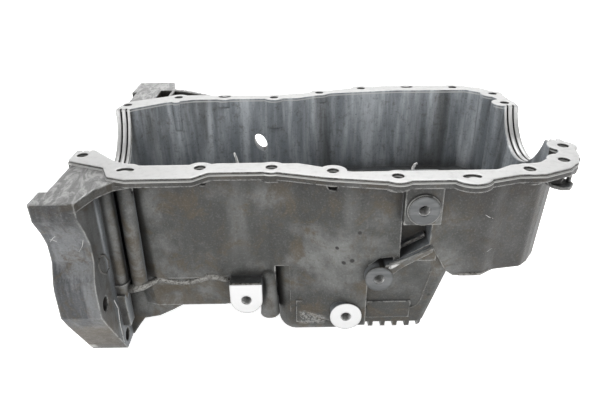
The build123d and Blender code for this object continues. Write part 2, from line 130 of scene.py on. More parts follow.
class NodeBoard:
    """A material's node tree with short calls for the nodes that the finishes use."""

    def __init__(self, name: str) -> None:
        """Makes an empty node material.

        Args:
            name: The material's name.
        """
        self.material = bpy.data.materials.new(name)
        self.material.use_nodes = True
        self.tree = self.material.node_tree
        self.tree.nodes.clear()
        self.coords = self.tree.nodes.new("ShaderNodeTexCoord")
        split = self.tree.nodes.new("ShaderNodeSeparateXYZ")
        self.tree.links.new(self.coords.outputs["Object"], split.inputs[0])
        self.x, self.y, self.z = split.outputs
        facing = self.tree.nodes.new("ShaderNodeSeparateXYZ")
        self.tree.links.new(self.coords.outputs["Normal"], facing.inputs[0])
        self.nx, self.ny, self.nz = facing.outputs
        self.drawn: dict[Pattern, Socket] = {}

    def feed(self, socket: Socket, value: "Socket | float | tuple") -> None:
        """Links a socket to another, or sets its value.

        Args:
            socket: The socket.
            value: The socket to link, or the value to set.
        """
        if isinstance(value, bpy.types.NodeSocket):
            self.tree.links.new(value, socket)
        else:
            socket.default_value = value

    def math(
        self, operation: str, a: "Socket | float", b: "Socket | float" = 0.0, clamp: bool = False,
    ) -> Socket:
        """Adds a Math node.

        Args:
            operation: Blender's name of the operation.
            a: First value.
            b: Second value.
            clamp: Whether the result stays between 0 and 1.

        Returns:
            The node's output.
        """
        node = self.tree.nodes.new("ShaderNodeMath")
        node.operation = operation
        node.use_clamp = clamp
        self.feed(node.inputs[0], a)
        self.feed(node.inputs[1], b)
        return node.outputs[0]

    def fade(self, value: Socket, low: float, high: float) -> Socket:
        """Maps a value to 0 at low and 1 at high, smoothly; low may be the larger one.

        Args:
            value: The value.
            low: Where the mask is 0.
            high: Where the mask is 1.

        Returns:
            The mask.
        """
        node = self.tree.nodes.new("ShaderNodeMapRange")
        node.interpolation_type = "SMOOTHSTEP"
        self.feed(node.inputs["Value"], value)
        node.inputs["From Min"].default_value = min(low, high)
        node.inputs["From Max"].default_value = max(low, high)
        node.inputs["To Min"].default_value = 0.0 if low < high else 1.0
        node.inputs["To Max"].default_value = 1.0 if low < high else 0.0
        return node.outputs["Result"]

    def size(self, value: Socket) -> Socket:
        """A value without its sign."""
        return self.math("ABSOLUTE", value)

    def share(self, mask: Socket, strength: float) -> Socket:
        """A mask at less than its full strength."""
        return self.math("MULTIPLY", mask, strength)

    def spread(self, a: Socket, b: Socket) -> Socket:
        """The square of the distance that two offsets give."""
        return self.math("ADD", self.math("MULTIPLY", a, a), self.math("MULTIPLY", b, b))

    def disc(self, square: Socket, outer: float, inner: float) -> Socket:
        """Mask of a disc, from the square of the distance to its middle.

        Args:
            square: Square of the distance.
            outer: Where the disc has faded out.
            inner: Where it is still whole.

        Returns:
            The mask.
        """
        return self.fade(square, outer ** 2, inner ** 2)

    def near(self, value: Socket, place: float, outer: float, inner: float) -> Socket:
        """Mask of a value that is near a place: gone at outer away from it, whole within inner."""
        return self.fade(self.size(self.math("SUBTRACT", value, place)), outer, inner)

    def band(self, value: Socket, low: float, high: float, soft: float) -> Socket:
        """Mask of a value between low and high, which fades over soft on both sides of each."""
        return self.both(self.fade(value, low - soft, low + soft), self.fade(value, high + soft, high - soft))

    def both(self, *masks: Socket) -> Socket:
        """Multiplies masks together.

        Args:
            masks: One or more masks.

        Returns:
            Their product.
        """
        result = masks[0]
        for mask in masks[1:]:
            result = self.math("MULTIPLY", result, mask, clamp=True)
        return result

    def either(self, *masks: Socket) -> Socket:
        """Takes the largest of some masks.

        Args:
            masks: One or more masks.

        Returns:
            The largest at each point.
        """
        result = masks[0]
        for mask in masks[1:]:
            result = self.math("MAXIMUM", result, mask)
        return result

    def stretched(self, scale: Point) -> Socket:
        """Object coordinates multiplied axis by axis.

        Args:
            scale: The factor of each axis.

        Returns:
            The coordinates.
        """
        node = self.tree.nodes.new("ShaderNodeMapping")
        self.feed(node.inputs["Vector"], self.coords.outputs["Object"])
        node.inputs["Scale"].default_value = scale
        return node.outputs[0]

    def pattern(self, pattern: Pattern) -> Socket:
        """A noise pattern around 0.5, drawn once and shared from then on.

        Args:
            pattern: Which pattern.

        Returns:
            The pattern.
        """
        if pattern not in self.drawn:
            grain = pattern.value
            node = self.tree.nodes.new("ShaderNodeTexNoise")
            self.feed(node.inputs["Vector"], self.stretched(grain.stretch))
            node.inputs["Scale"].default_value = grain.scale
            node.inputs["Detail"].default_value = grain.detail
            node.inputs["Roughness"].default_value = grain.rough
            node.inputs["Distortion"].default_value = grain.twist
            self.drawn[pattern] = node.outputs["Fac"]
        return self.drawn[pattern]

    def openness(self, reach: float, look: Look, samples: int = 8) -> Socket:
        """How open the surface is, 1 where nothing of the casting is near.

        Args:
            reach: How far to look.
            look: Out into the air, or into the metal.
            samples: Rays for each point.

        Returns:
            The openness, 0 to 1.
        """
        node = self.tree.nodes.new("ShaderNodeAmbientOcclusion")
        node.samples = samples
        node.inside = look.value
        node.only_local = True
        node.inputs["Distance"].default_value = reach
        return node.outputs["AO"]

    def rounding(self, radius: float, samples: int = 6) -> Socket:
        """Shading normal with every edge rounded off, as a casting's are.

        Args:
            radius: The radius of the edges.
            samples: Rays for each point.

        Returns:
            The normal.
        """
        node = self.tree.nodes.new("ShaderNodeBevel")
        node.samples = samples
        node.inputs["Radius"].default_value = radius
        return node.outputs[0]

    def mix(self, fac: "Socket | float", a: "Socket | Colour", b: "Socket | Colour") -> Socket:
        """Mixes two colours.

        Args:
            fac: Share of the second colour.
            a: First colour.
            b: Second colour.

        Returns:
            The mixed colour.
        """
        node = self.tree.nodes.new("ShaderNodeMix")
        node.data_type = "RGBA"
        self.feed(node.inputs[0], fac)
        for socket, colour in ((node.inputs[6], a), (node.inputs[7], b)):
            self.feed(socket, (*colour, 1.0) if isinstance(colour, tuple) else colour)
        return node.outputs[2]

    def coat(self, base: "Socket | Colour", pattern: Socket, coat: Coat) -> Socket:
        """Lays a coat of colour over a base where a pattern calls for it.

        Args:
            base: The colour underneath.
            pattern: What says where the coat lies.
            coat: The colour, the span of the pattern and the strength.

        Returns:
            The coated colour.
        """
        return self.mix(self.share(self.fade(pattern, *coat.span), coat.strength), base, coat.colour)

    def level(self, fac: "Socket | float", a: "Socket | float", b: "Socket | float") -> Socket:
        """Mixes two plain values.

        Args:
            fac: Share of the second value.
            a: First value.
            b: Second value.

        Returns:
            The mixed value.
        """
        node = self.tree.nodes.new("ShaderNodeMix")
        node.data_type = "FLOAT"
        self.feed(node.inputs[0], fac)
        self.feed(node.inputs[2], a)
        self.feed(node.inputs[3], b)
        return node.outputs[0]

    def bump(
        self, height: Socket, distance: float, normal: "Socket | None" = None,
        strength: "Socket | float" = 1.0,
    ) -> Socket:
        """Adds a bump, on top of another normal where one is given.

        Args:
            height: The pattern.
            distance: How high the pattern reaches.
            normal: The normal underneath.
            strength: How much of the bump shows.

        Returns:
            The normal.
        """
        node = self.tree.nodes.new("ShaderNodeBump")
        self.feed(node.inputs["Strength"], strength)
        node.inputs["Distance"].default_value = distance
        self.feed(node.inputs["Height"], height)
        if normal is not None:
            self.feed(node.inputs["Normal"], normal)
        return node.outputs["Normal"]

    def surface(
        self, colour: Socket, metallic: "Socket | float", roughness: "Socket | float", normal: Socket,
    ) -> bpy.types.Material:
        """Closes the board with its shader.

        Args:
            colour: Base colour.
            metallic: Share of bare metal.
            roughness: Roughness.
            normal: Shading normal.

        Returns:
            The finished material.
        """
        shader = self.tree.nodes.new("ShaderNodeBsdfPrincipled")
        self.feed(shader.inputs["Base Color"], colour)
        self.feed(shader.inputs["Metallic"], metallic)
        self.feed(shader.inputs["Roughness"], roughness)
        self.feed(shader.inputs["Normal"], normal)
        output = self.tree.nodes.new("ShaderNodeOutputMaterial")
        self.tree.links.new(shader.outputs[0], output.inputs["Surface"])
        return self.material


@dataclass(frozen=True)
class Pad:
    """A machined pad on the front: its middle, the place of its face and its radius.

    A pad with a square top reaches up from its middle by square_top.
    """

    x: float
    z: float
    face: float
    radius: float
    square_top: float = 0.0


@dataclass(frozen=True)
class Arch:
    """A machined seal arch: its radius, the height of its middle and the stretch of X that it covers."""

    radius: float
    height: float
    low: float
    high: float


@dataclass(frozen=True)
class BlowHole:
    """A small dark hole that gas left in the front wall."""

    x: float
    z: float
    radius: float


@dataclass
class Masks:
    """Where each kind of machined face is, on one material's board."""

    bright_pads: Socket
    dull_pads: Socket
    wings: Socket
    machined: Socket


@dataclass(frozen=True)
class Machining:
    """Where the casting was machined.

    A slack is how far a mask reaches past its face: where it has faded out, and where it is still
    whole. A looks span is how much of a face's normal points up or to the front.
    """

    gasket_height: float = 0.0
    wing_height: float = -3.0 * MM
    bright_pads: tuple[Pad, ...] = (
        Pad(13.0 * MM, -133.8 * MM, -110.0 * MM, 13.4 * MM),
        Pad(-71.0 * MM, -119.5 * MM, -104.0 * MM, 13.6 * MM, 16.0 * MM),
    )
    dull_pads: tuple[Pad, ...] = (
        Pad(66.5 * MM, -25.4 * MM, -126.0 * MM, 11.4 * MM),
        Pad(37.8 * MM, -90.8 * MM, -118.0 * MM, 11.0 * MM),
    )
    arches: tuple[Arch, ...] = (
        Arch(56.5 * MM, 6.0 * MM, -207.9 * MM, -193.6 * MM),
        Arch(50.0 * MM, 14.0 * MM, 181.6 * MM, 195.9 * MM),
    )
    face_slack: float = 0.7 * MM
    face_soft: float = 0.2 * MM
    arch_slack: Span = (1.0 * MM, 0.4 * MM)
    arch_soft: float = 0.1 * MM
    pad_slack: Span = (1.2 * MM, 0.4 * MM)
    pad_level: Span = (0.7 * MM, 0.4 * MM)
    square_top_start: Span = (-1.0 * MM, 0.0)
    looks_up: Span = (0.80, 0.95)
    looks_front: Span = (-0.80, -0.95)

    def faces_up(self, board: NodeBoard, height: float) -> Socket:
        """Mask of the machined faces that look up at one height.

        Args:
            board: The material's board.
            height: The height of the faces.

        Returns:
            The mask.
        """
        low, high = height - self.face_slack, height + self.face_slack
        at_height = board.band(board.z, low, high, self.face_soft)
        return board.both(board.fade(board.nz, *self.looks_up), at_height)

    def pad(self, board: NodeBoard, pad: Pad) -> Socket:
        """Mask of one pad's machined face, square above its middle where it has a square top.

        Args:
            board: The material's board.
            pad: The pad.

        Returns:
            The mask.
        """
        across = board.math("SUBTRACT", board.x, pad.x)
        upward = board.math("SUBTRACT", board.z, pad.z)
        outer, inner = (pad.radius + slack for slack in self.pad_slack)
        near = board.disc(board.spread(across, upward), outer, inner)
        if pad.square_top:
            top_outer, top_inner = (pad.square_top + slack for slack in self.pad_slack)
            near = board.either(near, board.both(
                board.fade(board.size(across), outer, inner),
                board.fade(upward, *self.square_top_start),
                board.fade(upward, top_outer, top_inner),
            ))
        level = board.near(board.y, pad.face, *self.pad_level)
        return board.both(near, level, board.fade(board.ny, *self.looks_front))

    def arch(self, board: NodeBoard, arch: Arch) -> Socket:
        """Mask of a seal arch's machined lands, not of its grooves.

        Args:
            board: The material's board.
            arch: The arch.

        Returns:
            The mask.
        """
        upward = board.math("SUBTRACT", board.z, arch.height)
        outer, inner = (arch.radius + slack for slack in self.arch_slack)
        near = board.disc(board.spread(board.y, upward), outer, inner)
        return board.both(near, board.band(board.x, arch.low, arch.high, self.arch_soft))

    def masks(self, board: NodeBoard) -> Masks:
        """Makes the masks of every machined face.

        Args:
            board: The material's board.

        Returns:
            The masks.
        """
        gasket = self.faces_up(board, self.gasket_height)
        wings = self.faces_up(board, self.wing_height)
        arches = board.either(*[self.arch(board, arch) for arch in self.arches])
        bright_pads = board.either(*[self.pad(board, pad) for pad in self.bright_pads])
        dull_pads = board.either(*[self.pad(board, pad) for pad in self.dull_pads])
        machined = board.either(gasket, arches, bright_pads, dull_pads, wings)
        return Masks(bright_pads, dull_pads, wings, machined)


@dataclass(frozen=True)
class CastFinish:
    """Die-cast aluminium with machined faces, oil stains, sooty grain, rubbed bare metal, painted shade and
    painted highlights.

    A span says where a mask comes in: the value at which it is still 0 and the one at which it is 1.
    A looks span is one on a part of the normal, and a strength is how much of a mask is used.
    """

    machining: Machining = Machining()

    # Base colours.
    # The skin's dark grey is partly the cast metal's own and partly painted shade, as the outer walls face
    # away from the light.
    skin: Colour = (0.034, 0.035, 0.033)
    skin_pale: Colour = (0.136, 0.138, 0.134)
    stain: Colour = (0.060, 0.046, 0.028)
    # Dark colour of sooty grain and specks, also used as painted shade in corners, under the rail, deep in
    # the hollow and in blow holes, and for the darker timing end.
    soot_and_shade: Colour = (0.014, 0.013, 0.012)
    # Pale bare metal, also used as the painted highlight on thin edges.
    worn_and_highlight: Colour = (0.62, 0.62, 0.60)

    # The hollow, where its walls and floors face the middle.
    hollow: Colour = (0.200, 0.220, 0.238)
    # Pale vertical streaks are painted highlights of the hollow's soft folds.
    painted_fold_highlights: Coat = Coat((0.620, 0.650, 0.680), (0.36, 0.80))
    # Dark vertical streaks down the hollow's walls.
    hollow_dark_streaks: Coat = Coat(skin, (0.48, 0.62), 0.72)
    # Painted shade, deepening towards the hollow's bottom.
    hollow_depth_shade: Coat = Coat(soot_and_shade, (-45.0 * MM, -120.0 * MM), 0.45)
    hollow_wall_reach: Span = (118.0 * MM, 112.0 * MM)
    hollow_floor_reach: Span = (82.0 * MM, 78.0 * MM)
    hollow_ends: Span = (-192.0 * MM, 184.0 * MM)
    hollow_end_soft: float = 2.0 * MM
    hollow_wall_looks: Span = (0.05, -0.05)
    hollow_end_wall_looks: Span = (0.30, 0.12)
    hollow_floor_looks: Span = (0.30, 0.60)

    # The outer walls and the front wing.
    pale_clouds: Span = (0.40, 0.66)
    pale_drips: Span = (0.50, 0.68)
    pale_drip_strength: float = 0.7
    wing_slate: Colour = (0.034, 0.037, 0.042)
    wing_sheen: Coat = Coat((0.130, 0.134, 0.140), (0.44, 0.62))
    wing_x: Span = (-174.0 * MM, -186.0 * MM)
    wing_y: Span = (-100.0 * MM, -112.0 * MM)
    wing_foot: Span = (-112.0 * MM, -130.0 * MM)
    wing_strength: float = 0.9
    wing_foot_strength: float = 0.7
    stain_patches: Coat = Coat(stain, (0.48, 0.64), 0.80)
    stain_mottle: Coat = Coat(stain, (0.50, 0.74), 0.42)
    soot_grain: Coat = Coat(soot_and_shade, (0.56, 0.72), 0.55)
    # Painted shade in corners and crevices, with soot there too.
    corner_shade_and_soot: Coat = Coat(soot_and_shade, (0.86, 0.36), 0.80)
    worn_grain: Coat = Coat(worn_and_highlight, (0.48, 0.34), 0.05)
    # Painted shadow under the rail, on the front walls.
    rail_shadow: Span = (-34.0 * MM, -8.0 * MM)
    rail_shadow_looks: Span = (0.0, -0.4)
    rail_shadow_strength: float = 0.60
    # A darker front at the timing end.
    timing_x: Span = (92.0 * MM, 118.0 * MM)
    timing_y: Span = (0.0, -30.0 * MM)
    timing_strength: float = 0.72

    # Bare metal: a line along the rail, thin edges, which also carry a painted highlight, and a rubbed field.
    rail_line_height: float = -2.3 * MM
    rail_line_width: Span = (0.75 * MM, 0.35 * MM)
    rail_line_front_looks: Span = (-0.15, -0.45)
    rail_line_level_looks: Span = (0.4, 0.2)
    rail_line_strength: float = 0.7
    # The thin edges' pale metal is partly rubbed bare and partly a painted highlight.
    worn_and_highlit_edges: Span = (0.80, 0.50)
    edge_wear_and_highlight_breaks: Span = (0.34, 0.56)
    edge_wear_and_highlight_strength: float = 0.44
    rubbed_x: Span = (-26.0 * MM, -4.0 * MM)
    rubbed_z: Span = (-158.0 * MM, -142.0 * MM)
    rubbed_soft: float = 2.0 * MM
    rubbed_looks: Span = (-0.6, -0.8)
    rubbed_grain: Span = (0.44, 0.56)
    rubbed_strength: float = 0.32

    # Blow holes, painted as dark spots for the shade inside them, with their soft rims as shares of the
    # radius.
    blow_holes: tuple[BlowHole, ...] = (
        BlowHole(4.5 * MM, -67.5 * MM, 1.5 * MM),
        BlowHole(21.5 * MM, -51.0 * MM, 1.6 * MM),
        BlowHole(16.5 * MM, -77.5 * MM, 1.9 * MM),
        BlowHole(10.0 * MM, -80.5 * MM, 1.7 * MM),
        BlowHole(85.0 * MM, -121.5 * MM, 1.3 * MM),
    )
    blow_hole_outer: float = 1.3
    blow_hole_inner: float = 0.6
    blow_hole_looks: Span = (-0.5, -0.7)
    blow_hole_y: Span = (-80.0 * MM, -90.0 * MM)

    # The machined faces.
    machined: Colour = (0.52, 0.52, 0.515)
    machined_marks: Coat = Coat((0.33, 0.33, 0.33), (0.46, 0.72), 0.40)
    machined_specks: Coat = Coat((0.33, 0.33, 0.33), (0.56, 0.72), 0.30)
    pad_bright: Colour = (0.60, 0.60, 0.60)
    pad_dull: Colour = (0.085, 0.088, 0.090)
    pad_scratches: Coat = Coat((0.120, 0.123, 0.125), (0.42, 0.62))
    wing_top: Colour = (0.185, 0.185, 0.183)
    wing_swirls: Coat = Coat((0.400, 0.400, 0.395), (0.42, 0.62))
    wing_specks: Span = (0.52, 0.68)
    wing_speck_strength: float = 0.45

    # Shading: occlusion, rounding, metal, roughness and relief.
    corner_reach: float = 22.0 * MM
    edge_reach: float = 2.2 * MM
    edge_radius: float = 2.6 * MM
    metal_share: Span = (0.25, 0.75)
    wing_metal_share: float = 0.42
    machined_metal_share: float = 0.70
    cast_roughness: Span = (0.40, 0.62)
    machined_roughness: Span = (0.28, 0.48)
    reliefs: tuple[tuple[Pattern, Relief], ...] = (
        (Pattern.MOTTLE, Relief(0.60 * MM, 0.7, 0.03)),
        (Pattern.GRAIN, Relief(0.35 * MM, 0.7, 0.05)),
        (Pattern.FINE, Relief(0.18 * MM, 0.8, 0.05)),
    )

    def blow_hole_mask(self, board: NodeBoard) -> Socket:
        """Mask of the small blow holes in the front wall, where dark spots are painted as the shade inside
        them.

        Args:
            board: The material's board.

        Returns:
            The mask.
        """
        spots = []
        for hole in self.blow_holes:
            across = board.math("SUBTRACT", board.x, hole.x)
            upward = board.math("SUBTRACT", board.z, hole.z)
            outer, inner = hole.radius * self.blow_hole_outer, hole.radius * self.blow_hole_inner
            spots.append(board.disc(board.spread(across, upward), outer, inner))
        front = board.both(
            board.fade(board.ny, *self.blow_hole_looks),
            board.fade(board.y, *self.blow_hole_y),
        )
        return board.both(board.either(*spots), front)

    def rubbed_mask(self, board: NodeBoard) -> Socket:
        """Mask of the rubbed field on the raised plate beside the low pad.

        Args:
            board: The material's board.

        Returns:
            The mask.
        """
        return board.both(
            board.band(board.x, *self.rubbed_x, self.rubbed_soft),
            board.band(board.z, *self.rubbed_z, self.rubbed_soft),
            board.fade(board.ny, *self.rubbed_looks),
            board.fade(board.pattern(Pattern.GRAIN), *self.rubbed_grain),
        )

    def hollow_mask(self, board: NodeBoard) -> Socket:
        """Mask of the hollow's own walls and floors, which face the middle of the pan.

        Args:
            board: The material's board.

        Returns:
            The mask.
        """
        across = board.math("MULTIPLY", board.math("SIGN", board.y), board.ny)
        along = board.math("MULTIPLY", board.math("SIGN", board.x), board.nx)
        end_wall = board.fade(board.size(board.ny), *self.hollow_end_wall_looks)
        outward = board.math("ADD", across, board.math("MULTIPLY", along, end_wall))
        off_axis = board.size(board.y)
        walls = board.both(
            board.fade(outward, *self.hollow_wall_looks),
            board.fade(off_axis, *self.hollow_wall_reach),
        )
        floors = board.both(
            board.fade(board.nz, *self.hollow_floor_looks),
            board.fade(off_axis, *self.hollow_floor_reach),
        )
        between_ends = board.band(board.x, *self.hollow_ends, self.hollow_end_soft)
        return board.both(board.either(walls, floors), between_ends)

    def wing_mask(self, board: NodeBoard) -> Socket:
        """Mask of the front wing."""
        return board.both(board.fade(board.x, *self.wing_x), board.fade(board.y, *self.wing_y))

    def rail_line_mask(self, board: NodeBoard) -> Socket:
        """Mask of the thin light line along the front side of the rail.

        Args:
            board: The material's board.

        Returns:
            The mask.
        """
        return board.both(
            board.near(board.z, self.rail_line_height, *self.rail_line_width),
            board.fade(board.ny, *self.rail_line_front_looks),
            board.fade(board.size(board.nz), *self.rail_line_level_looks),
        )

    def wear_and_highlight_mask(self, board: NodeBoard) -> Socket:
        """Mask of bare metal on thin edges and in the rubbed field; on the thin edges it is also a painted
        highlight.

        Args:
            board: The material's board.

        Returns:
            The mask.
        """
        # Pale thin edges: rubbed metal, and a painted highlight where edges catch the light.
        edges = board.both(
            board.fade(board.openness(self.edge_reach, Look.INTO_THIN_EDGES), *self.worn_and_highlit_edges),
            board.fade(board.pattern(Pattern.MOTTLE), *self.edge_wear_and_highlight_breaks),
        )
        return board.either(
            board.share(edges, self.edge_wear_and_highlight_strength),
            board.share(self.rubbed_mask(board), self.rubbed_strength),
        )

    def outer_colour(self, board: NodeBoard) -> Socket:
        """Colour of the outer walls: clouded grey darkened as painted shade, a slate wing, stains, a painted
        shadow under the rail and a darker timing end.

        Args:
            board: The material's board.

        Returns:
            The colour.
        """
        pale = board.either(
            board.fade(board.pattern(Pattern.CLOUD), *self.pale_clouds),
            board.share(board.fade(board.pattern(Pattern.DRIP), *self.pale_drips), self.pale_drip_strength),
        )
        colour = board.mix(pale, self.skin, self.skin_pale)
        wing = self.wing_mask(board)
        slate = board.coat(self.wing_slate, board.pattern(Pattern.STREAK), self.wing_sheen)
        colour = board.mix(board.share(wing, self.wing_strength), colour, slate)
        foot = board.both(wing, board.fade(board.z, *self.wing_foot))
        colour = board.mix(board.share(foot, self.wing_foot_strength), colour, self.stain)
        colour = board.coat(colour, board.pattern(Pattern.PATCH), self.stain_patches)
        # Painted shadow under the rail.
        rail_shadow = board.both(
            board.fade(board.z, *self.rail_shadow),
            board.fade(board.ny, *self.rail_shadow_looks),
        )
        colour = board.mix(board.share(rail_shadow, self.rail_shadow_strength), colour, self.soot_and_shade)
        # Darker at the front of the timing end.
        timing = board.both(board.fade(board.x, *self.timing_x), board.fade(board.y, *self.timing_y))
        return board.mix(board.share(timing, self.timing_strength), colour, self.soot_and_shade)

    def hollow_colour(self, board: NodeBoard) -> Socket:
        """Colour of the hollow: blue-grey, with pale streaks painted as the light on its soft folds, dark
        streaks down its walls and painted shade that deepens downwards.

        Args:
            board: The material's board.

        Returns:
            The colour.
        """
        # Painted highlights of the soft folds, as pale streaks.
        colour = board.coat(self.hollow, board.pattern(Pattern.STREAK), self.painted_fold_highlights)
        # Dark streaks down the walls.
        colour = board.coat(colour, board.pattern(Pattern.DRIP), self.hollow_dark_streaks)
        # Painted shade, deeper towards the bottom.
        return board.coat(colour, board.z, self.hollow_depth_shade)

    def cast_colour(self, board: NodeBoard, wear_and_highlight: Socket) -> Socket:
        """Colour of everything that was left as cast.

        Args:
            board: The material's board.
            wear_and_highlight: Mask of the bare metal, and of the painted highlight on thin edges.

        Returns:
            The colour.
        """
        colour = board.mix(self.hollow_mask(board), self.outer_colour(board), self.hollow_colour(board))
        colour = board.coat(colour, board.pattern(Pattern.MOTTLE), self.stain_mottle)
        colour = board.coat(colour, board.pattern(Pattern.GRAIN), self.soot_grain)
        colour = board.coat(colour, board.pattern(Pattern.GRAIN), self.worn_grain)
        # Painted shade, with soot, where the casting closes in around corners and crevices.
        corners = board.openness(self.corner_reach, Look.OUT_TO_CORNERS)
        colour = board.coat(colour, corners, self.corner_shade_and_soot)
        # Painted shade: dark spots for the shade inside the blow holes.
        colour = board.mix(self.blow_hole_mask(board), colour, self.soot_and_shade)
        rail_line = board.share(self.rail_line_mask(board), self.rail_line_strength)
        return board.mix(board.either(wear_and_highlight, rail_line), colour, self.worn_and_highlight)

    def machined_colour(self, board: NodeBoard, masks: Masks) -> Socket:
        """Colour of the machined faces.

        Args:
            board: The material's board.
            masks: Where each kind of face is.

        Returns:
            The colour.
        """
        grain = board.pattern(Pattern.GRAIN)
        colour = board.coat(self.machined, board.pattern(Pattern.MOTTLE), self.machined_marks)
        colour = board.coat(colour, grain, self.machined_specks)
        colour = board.mix(masks.bright_pads, colour, self.pad_bright)
        scratched = board.coat(self.pad_dull, board.pattern(Pattern.SCRATCH), self.pad_scratches)
        colour = board.mix(masks.dull_pads, colour, scratched)
        swirled = board.coat(self.wing_top, board.pattern(Pattern.SWIRL), self.wing_swirls)
        colour = board.mix(masks.wings, colour, swirled)
        specks = board.both(masks.wings, board.fade(grain, *self.wing_specks))
        return board.mix(board.share(specks, self.wing_speck_strength), colour, self.soot_and_shade)

    def relief(self, board: NodeBoard, machined: Socket) -> Socket:
        """Shading normal: rounded edges under three sizes of casting grain.

        Args:
            board: The material's board.
            machined: Mask of the machined faces, where the grain is cut away.

        Returns:
            The normal.
        """
        normal = board.rounding(self.edge_radius)
        for pattern, relief in self.reliefs:
            strength = board.level(machined, relief.cast, relief.machined)
            normal = board.bump(board.pattern(pattern), relief.height, normal, strength)
        return normal

    def build(self, name: str = "cast_aluminium") -> bpy.types.Material:
        """Makes the material.

        Args:
            name: The material's name.

        Returns:
            The material of the whole casting.
        """
        board = NodeBoard(name)
        masks = self.machining.masks(board)
        wear_and_highlight = self.wear_and_highlight_mask(board)
        worn_metal = board.level(wear_and_highlight, *self.metal_share)
        cast_metal = board.level(self.wing_mask(board), worn_metal, self.wing_metal_share)
        return board.surface(
            board.mix(masks.machined, self.cast_colour(board, wear_and_highlight), self.machined_colour(board, masks)),
            board.level(masks.machined, cast_metal, self.machined_metal_share),
            board.level(
                masks.machined,
                board.level(board.pattern(Pattern.MOTTLE), *self.cast_roughness),
                board.level(board.pattern(Pattern.SCRATCH), *self.machined_roughness),
            ),
            self.relief(board, masks.machined),
        )


@dataclass
class Casting:
    """The pan itself, one casting that carries every machined face."""

    node: str = "oil_pan"

    def dress(self, frame: dict, finish: CastFinish) -> bpy.types.Object:
        """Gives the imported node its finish.

        Args:
            finish: The casting's finish.

        Returns:
            The node's object.
        """
        shape = frame["nodes"][self.node]
        shape.data.materials.clear()
        shape.data.materials.append(finish.build())
        LOG.info("%s dressed", self.node)
        return shape


@dataclass(frozen=True)
class WornFinish:
    """Bare rubbed and cut metal of crests, lips and threads; on the crests its pale flecks are also a painted
    highlight.

    It is dark with pale flecks. A larger share brings the pale flecks in sooner, by share times
    fleck_pull, and the smears lay the dark colour over them again.
    """

    dark: Colour = (0.085, 0.082, 0.076)
    pale: Colour = (0.42, 0.42, 0.41)
    share: float = 0.5
    relief_height: float = 0.35 * MM
    fleck_span: Span = (0.72, 0.86)
    fleck_pull: float = 0.4
    smear_span: Span = (0.50, 0.70)
    smear_strength: float = 0.5
    metal_share: Span = (0.30, 0.75)
    roughness: Span = (0.55, 0.34)

    def build(self, name: str) -> bpy.types.Material:
        """Makes the material under a name of its own.

        Args:
            name: The material's name.

        Returns:
            The material.
        """
        board = NodeBoard(name)
        flecks = board.pattern(Pattern.FLECK)
        pale = board.fade(flecks, *(edge - self.share * self.fleck_pull for edge in self.fleck_span))
        smears = Coat(self.dark, self.smear_span, self.smear_strength)
        return board.surface(
            board.coat(board.mix(pale, self.dark, self.pale), board.pattern(Pattern.SMEAR), smears),
            board.level(pale, *self.metal_share),
            board.level(pale, *self.roughness),
            board.bump(flecks, self.relief_height),
        )


class Metal(Enum):
    """The rubbed and cut bare-metal finishes of the small forms, by their materials' names."""

    FLASH = "speckled_flash"
    CREST = "rubbed_crest"
    SEAM = "seam_metal"
    THREAD = "cut_thread"


@dataclass(frozen=True)
class Strand:
    """A bead, crest or slim blade that follows a line of points, with its half-widths, in millimetres."""

    name: str
    metal: Metal
    points: tuple[Point, ...]
    widths: tuple[float, ...]
    flat: float = 1.0
    sides: int = 10


@dataclass(frozen=True)
class Bead:
    """A strand that lies along the front skin: its line is pairs of X and Z, sunk into the skin."""

    name: str
    metal: Metal
    line: tuple[Place, ...]
    sunk: float
    widths: tuple[float, ...]
    flat: float = 1.0
    sides: int = 10


@dataclass(frozen=True)
class Thread:
    """The ridge of an M10 thread, as it shows at the mouth of a pad's hole, inside the chamfer."""

    radius: float = 4.32 * MM
    ridge: float = 0.62 * MM
    pitch: float = 1.5 * MM
    chamfer: float = 0.9 * MM
    turns: int = 8
    steps: int = 24


@dataclass
class Surface:
    """The casting's skin, which the small pieces are laid on; outside is a Y well in front of it."""

    tree: BVHTree
    outside: float = -0.4

    @classmethod
    def of(cls, shape: bpy.types.Object) -> "Surface":
        """Reads the skin of an object.

        Args:
            shape: The object.

        Returns:
            Its skin.
        """
        mesh = bmesh.new()
        mesh.from_mesh(shape.data)
        tree = BVHTree.FromBMesh(mesh)
        mesh.free()
        return cls(tree)

    def in_front(self, x: float, z: float) -> float:
        """Where the front of the casting is at a place.

        Args:
            x: Place along the crankshaft, in millimetres.
            z: Height, in millimetres.

        Returns:
            The skin's Y, in millimetres.
        """
        start = Vector((x * MM, self.outside, z * MM))
        found = self.tree.ray_cast(start, Vector((0.0, 1.0, 0.0)))[0]
        if found is None:
            raise ValueError(f"the casting has no front at X {x}, Z {z}")
        return found.y / MM


